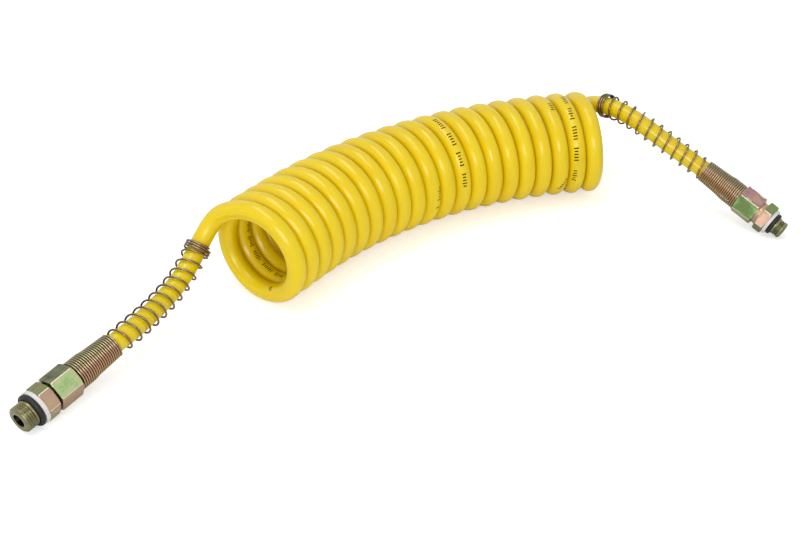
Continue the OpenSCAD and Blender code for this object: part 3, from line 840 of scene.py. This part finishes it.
def make_spring(end):
    """A round wire spring, close wound from the nut and open over the free hose."""
    tail = TAILS[end]
    turns = np.linspace(0, SPRING_TURNS, SPRING_TURNS * WIRE_RINGS + 1)
    open_len = OPEN_TURNS * OPEN_PITCH[end]
    end_from = open_len + END_TURNS * (END_SPREAD - END_PITCH) / 2
    run = np.interp(turns, [0, CLOSE_TURNS, CLOSE_TURNS + OPEN_TURNS, SPRING_TURNS],
                    [-CLOSE_LEN, 0, end_from, end_from + END_TURNS * END_PITCH])
    r = np.interp(turns, [0, SHOULDER_TURNS, SHOULDER_TURNS + SHOULDER_DROP, CLOSE_TURNS,
                          CLOSE_TURNS + 1.5, CLOSE_TURNS + OPEN_TURNS - 0.5,
                          CLOSE_TURNS + OPEN_TURNS + 0.5],
                  [SPRING_R_NUT, SPRING_R_NUT, SPRING_R_PAST, SPRING_R_REAR, SPRING_R_OPEN,
                   SPRING_R_OPEN, SPRING_R_END])
    if end == "a":
        mid, way = hose_at(inside_a + run)
    else:
        mid, way = hose_at(HOSE_LENGTH - inside_b - run)
        way = -way
    x = unit(np.cross(way, tail["side"]))
    y = np.cross(way, x)
    a = 2 * math.pi * turns[:, None]
    out = np.cos(a) * x + np.sin(a) * y
    wire = mid + r[:, None] * out
    run_way = unit(np.gradient(wire, axis=0))
    out -= np.einsum("ij,ij->i", out, run_way)[:, None] * run_way
    out = unit(out)
    up = np.cross(run_way, out)
    sides = WIRE_SIDES
    b = np.arange(sides) * 2 * math.pi / sides
    rings = wire[:, None] + WIRE_R * (np.cos(b)[None, :, None] * out[:, None]
                                      + np.sin(b)[None, :, None] * up[:, None])
    n = len(rings)
    # Both ends close on a small ring, as the wire is cut square.
    ends = [wire[:1, None] + WIRE_CUT * (rings[:1] - wire[:1, None]),
            wire[-1:, None] + WIRE_CUT * (rings[-1:] - wire[-1:, None])]
    rings = np.concatenate([ends[0], rings, ends[1]])
    i, j = np.meshgrid(np.arange(n + 1), np.arange(sides), indexing="ij")
    j2 = (j + 1) % sides
    faces = np.stack([i * sides + j, i * sides + j2, (i + 1) * sides + j2, (i + 1) * sides + j],
                     axis=-1).reshape(-1, 4)
    close = [[0, k, k + 1, k + 2] for k in range(1, sides - 2, 2)]
    top = (n + 1) * sides
    close += [[top, top + k + 2, top + k + 1, top + k] for k in range(1, sides - 2, 2)]
    points = rings.reshape(-1, 3)
    piece = make_piece("wire_spring_" + end, points, np.vstack([faces, close]), WIRE_PLATE,
                       sharp=50)
    held = np.concatenate([[0], turns, [SPRING_TURNS]])
    spot = np.stack(np.broadcast_arrays(held[:, None], 2 * np.cos(b), 2 * np.sin(b)), axis=-1)
    keep_value(piece, "wire_place", spot.reshape(-1, 3))
    # Painted reflection: the tone follows how far the wire faces up.
    around = np.concatenate([out[:1], out, out[-1:]])[:, 2]
    keep_value(piece, "film_and_painted_light", (FILM_MID + SIDE_PAINTED_REFLECTION * around).repeat(sides))
    opened = np.interp(held, [CLOSE_TURNS - 0.5, CLOSE_TURNS + 0.5], [0.0, OPEN_DARKER])
    # Painted shade on the wire's sides and inner side, where it faces its neighbours and the hose.
    painted_gap_shade = np.clip((INNER_FROM - np.cos(b)) / INNER_OVER, 0, 1) * INNER_PAINTED_SHADE
    keep_value(piece, "open_dark_and_gap_shade", np.maximum(opened[:, None], painted_gap_shade[None]).ravel())
    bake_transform(piece)
    moves = np.interp(np.concatenate([[run[0]], run, [run[-1]]]),
                      [0, open_len], [1, 0]).repeat(sides)
    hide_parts("anti_kink_spring_" + end)
    return piece


make_connector("a")
make_spring("a")
pieces_b = make_connector("b") + [make_spring("b")]


# ---------------------------------------------------------------- floor, light, camera
def white_floor():
    """Plain white paper, bright enough to run into the background."""
    material, tree = new_material("white_paper")
    seen = add(tree, "LightPath")
    matt = add(tree, "BsdfDiffuse", {0: srgb("#fbfbfb")})
    lift = add(tree, "Emission", {0: (1, 1, 1, 1), 1: FLOOR_LIFT})
    both = add(tree, "AddShader", {0: matt.outputs[0], 1: lift.outputs[0]})
    mixed = add(tree, "MixShader", {0: seen.outputs["Is Camera Ray"], 1: matt.outputs[0],
                                    2: both.outputs[0]})
    add(tree, "OutputMaterial", {0: mixed.outputs[0]})
    return material


floor_mesh = bpy.data.meshes.new("floor")
floor_mesh.from_pydata([(x * FLOOR_HALF, y * FLOOR_HALF, -FLOOR_DROP)
                        for x, y in ((-1, -1), (1, -1), (1, 1), (-1, 1))], [], [(0, 1, 2, 3)])
floor_mesh.materials.append(white_floor())
floor = bpy.data.objects.new("floor", floor_mesh)
bpy.context.scene.collection.objects.link(floor)

world = bpy.data.worlds.new("studio")
bpy.context.scene.world = world
world.use_nodes = True
tree = world.node_tree
tree.nodes.clear()
seen = add(tree, "LightPath")
shown = add(tree, "Math", {0: seen.outputs["Is Camera Ray"], 1: seen.outputs["Is Glossy Ray"]},
            operation="MAXIMUM")
shown = add(tree, "Math", {0: shown.outputs[0], 1: seen.outputs["Is Transmission Ray"]},
            operation="MAXIMUM")
level = add(tree, "MapRange", {0: shown.outputs[0], 3: WORLD_LEVEL, 4: 1.0})
sky = add(tree, "Background", {0: (1, 1, 1, 1), 1: level.outputs[0]})
add(tree, "OutputWorld", {0: sky.outputs[0]})


def soft_lamp(name, at, towards, size, power):
    """A large soft lamp at one place, aimed at another."""
    lamp = bpy.data.lights.new(name, "AREA")
    lamp.shape, lamp.size, lamp.size_y, lamp.energy = "RECTANGLE", size[0], size[1], power
    holder = bpy.data.objects.new(name, lamp)
    bpy.context.scene.collection.objects.link(holder)
    holder.location = at
    holder.rotation_mode = "QUATERNION"
    holder.rotation_quaternion = (Vector(towards) - Vector(at)).to_track_quat("-Z", "Y")


soft_lamp("lamp_overhead", (-0.25, 0.10, 1.30), (0, 0, 0), (1.1, 0.5), 6.0)
soft_lamp("lamp_front", (-0.95, -1.05, 0.60), (-0.10, 0, 0.03), (0.8, 0.6), 8.0)

camera_data = bpy.data.cameras.new("camera")
camera_data.lens, camera_data.sensor_width = LENS, SENSOR
camera = bpy.data.objects.new("camera", camera_data)
bpy.context.scene.collection.objects.link(camera)
camera.location = CAMERA_AT
camera.rotation_mode = "QUATERNION"
camera.rotation_quaternion = (Vector(CAMERA_TO) - camera.location).to_track_quat("-Z", "Y")
bpy.context.scene.camera = camera

view = bpy.context.scene.view_settings
view.view_transform = "Standard"
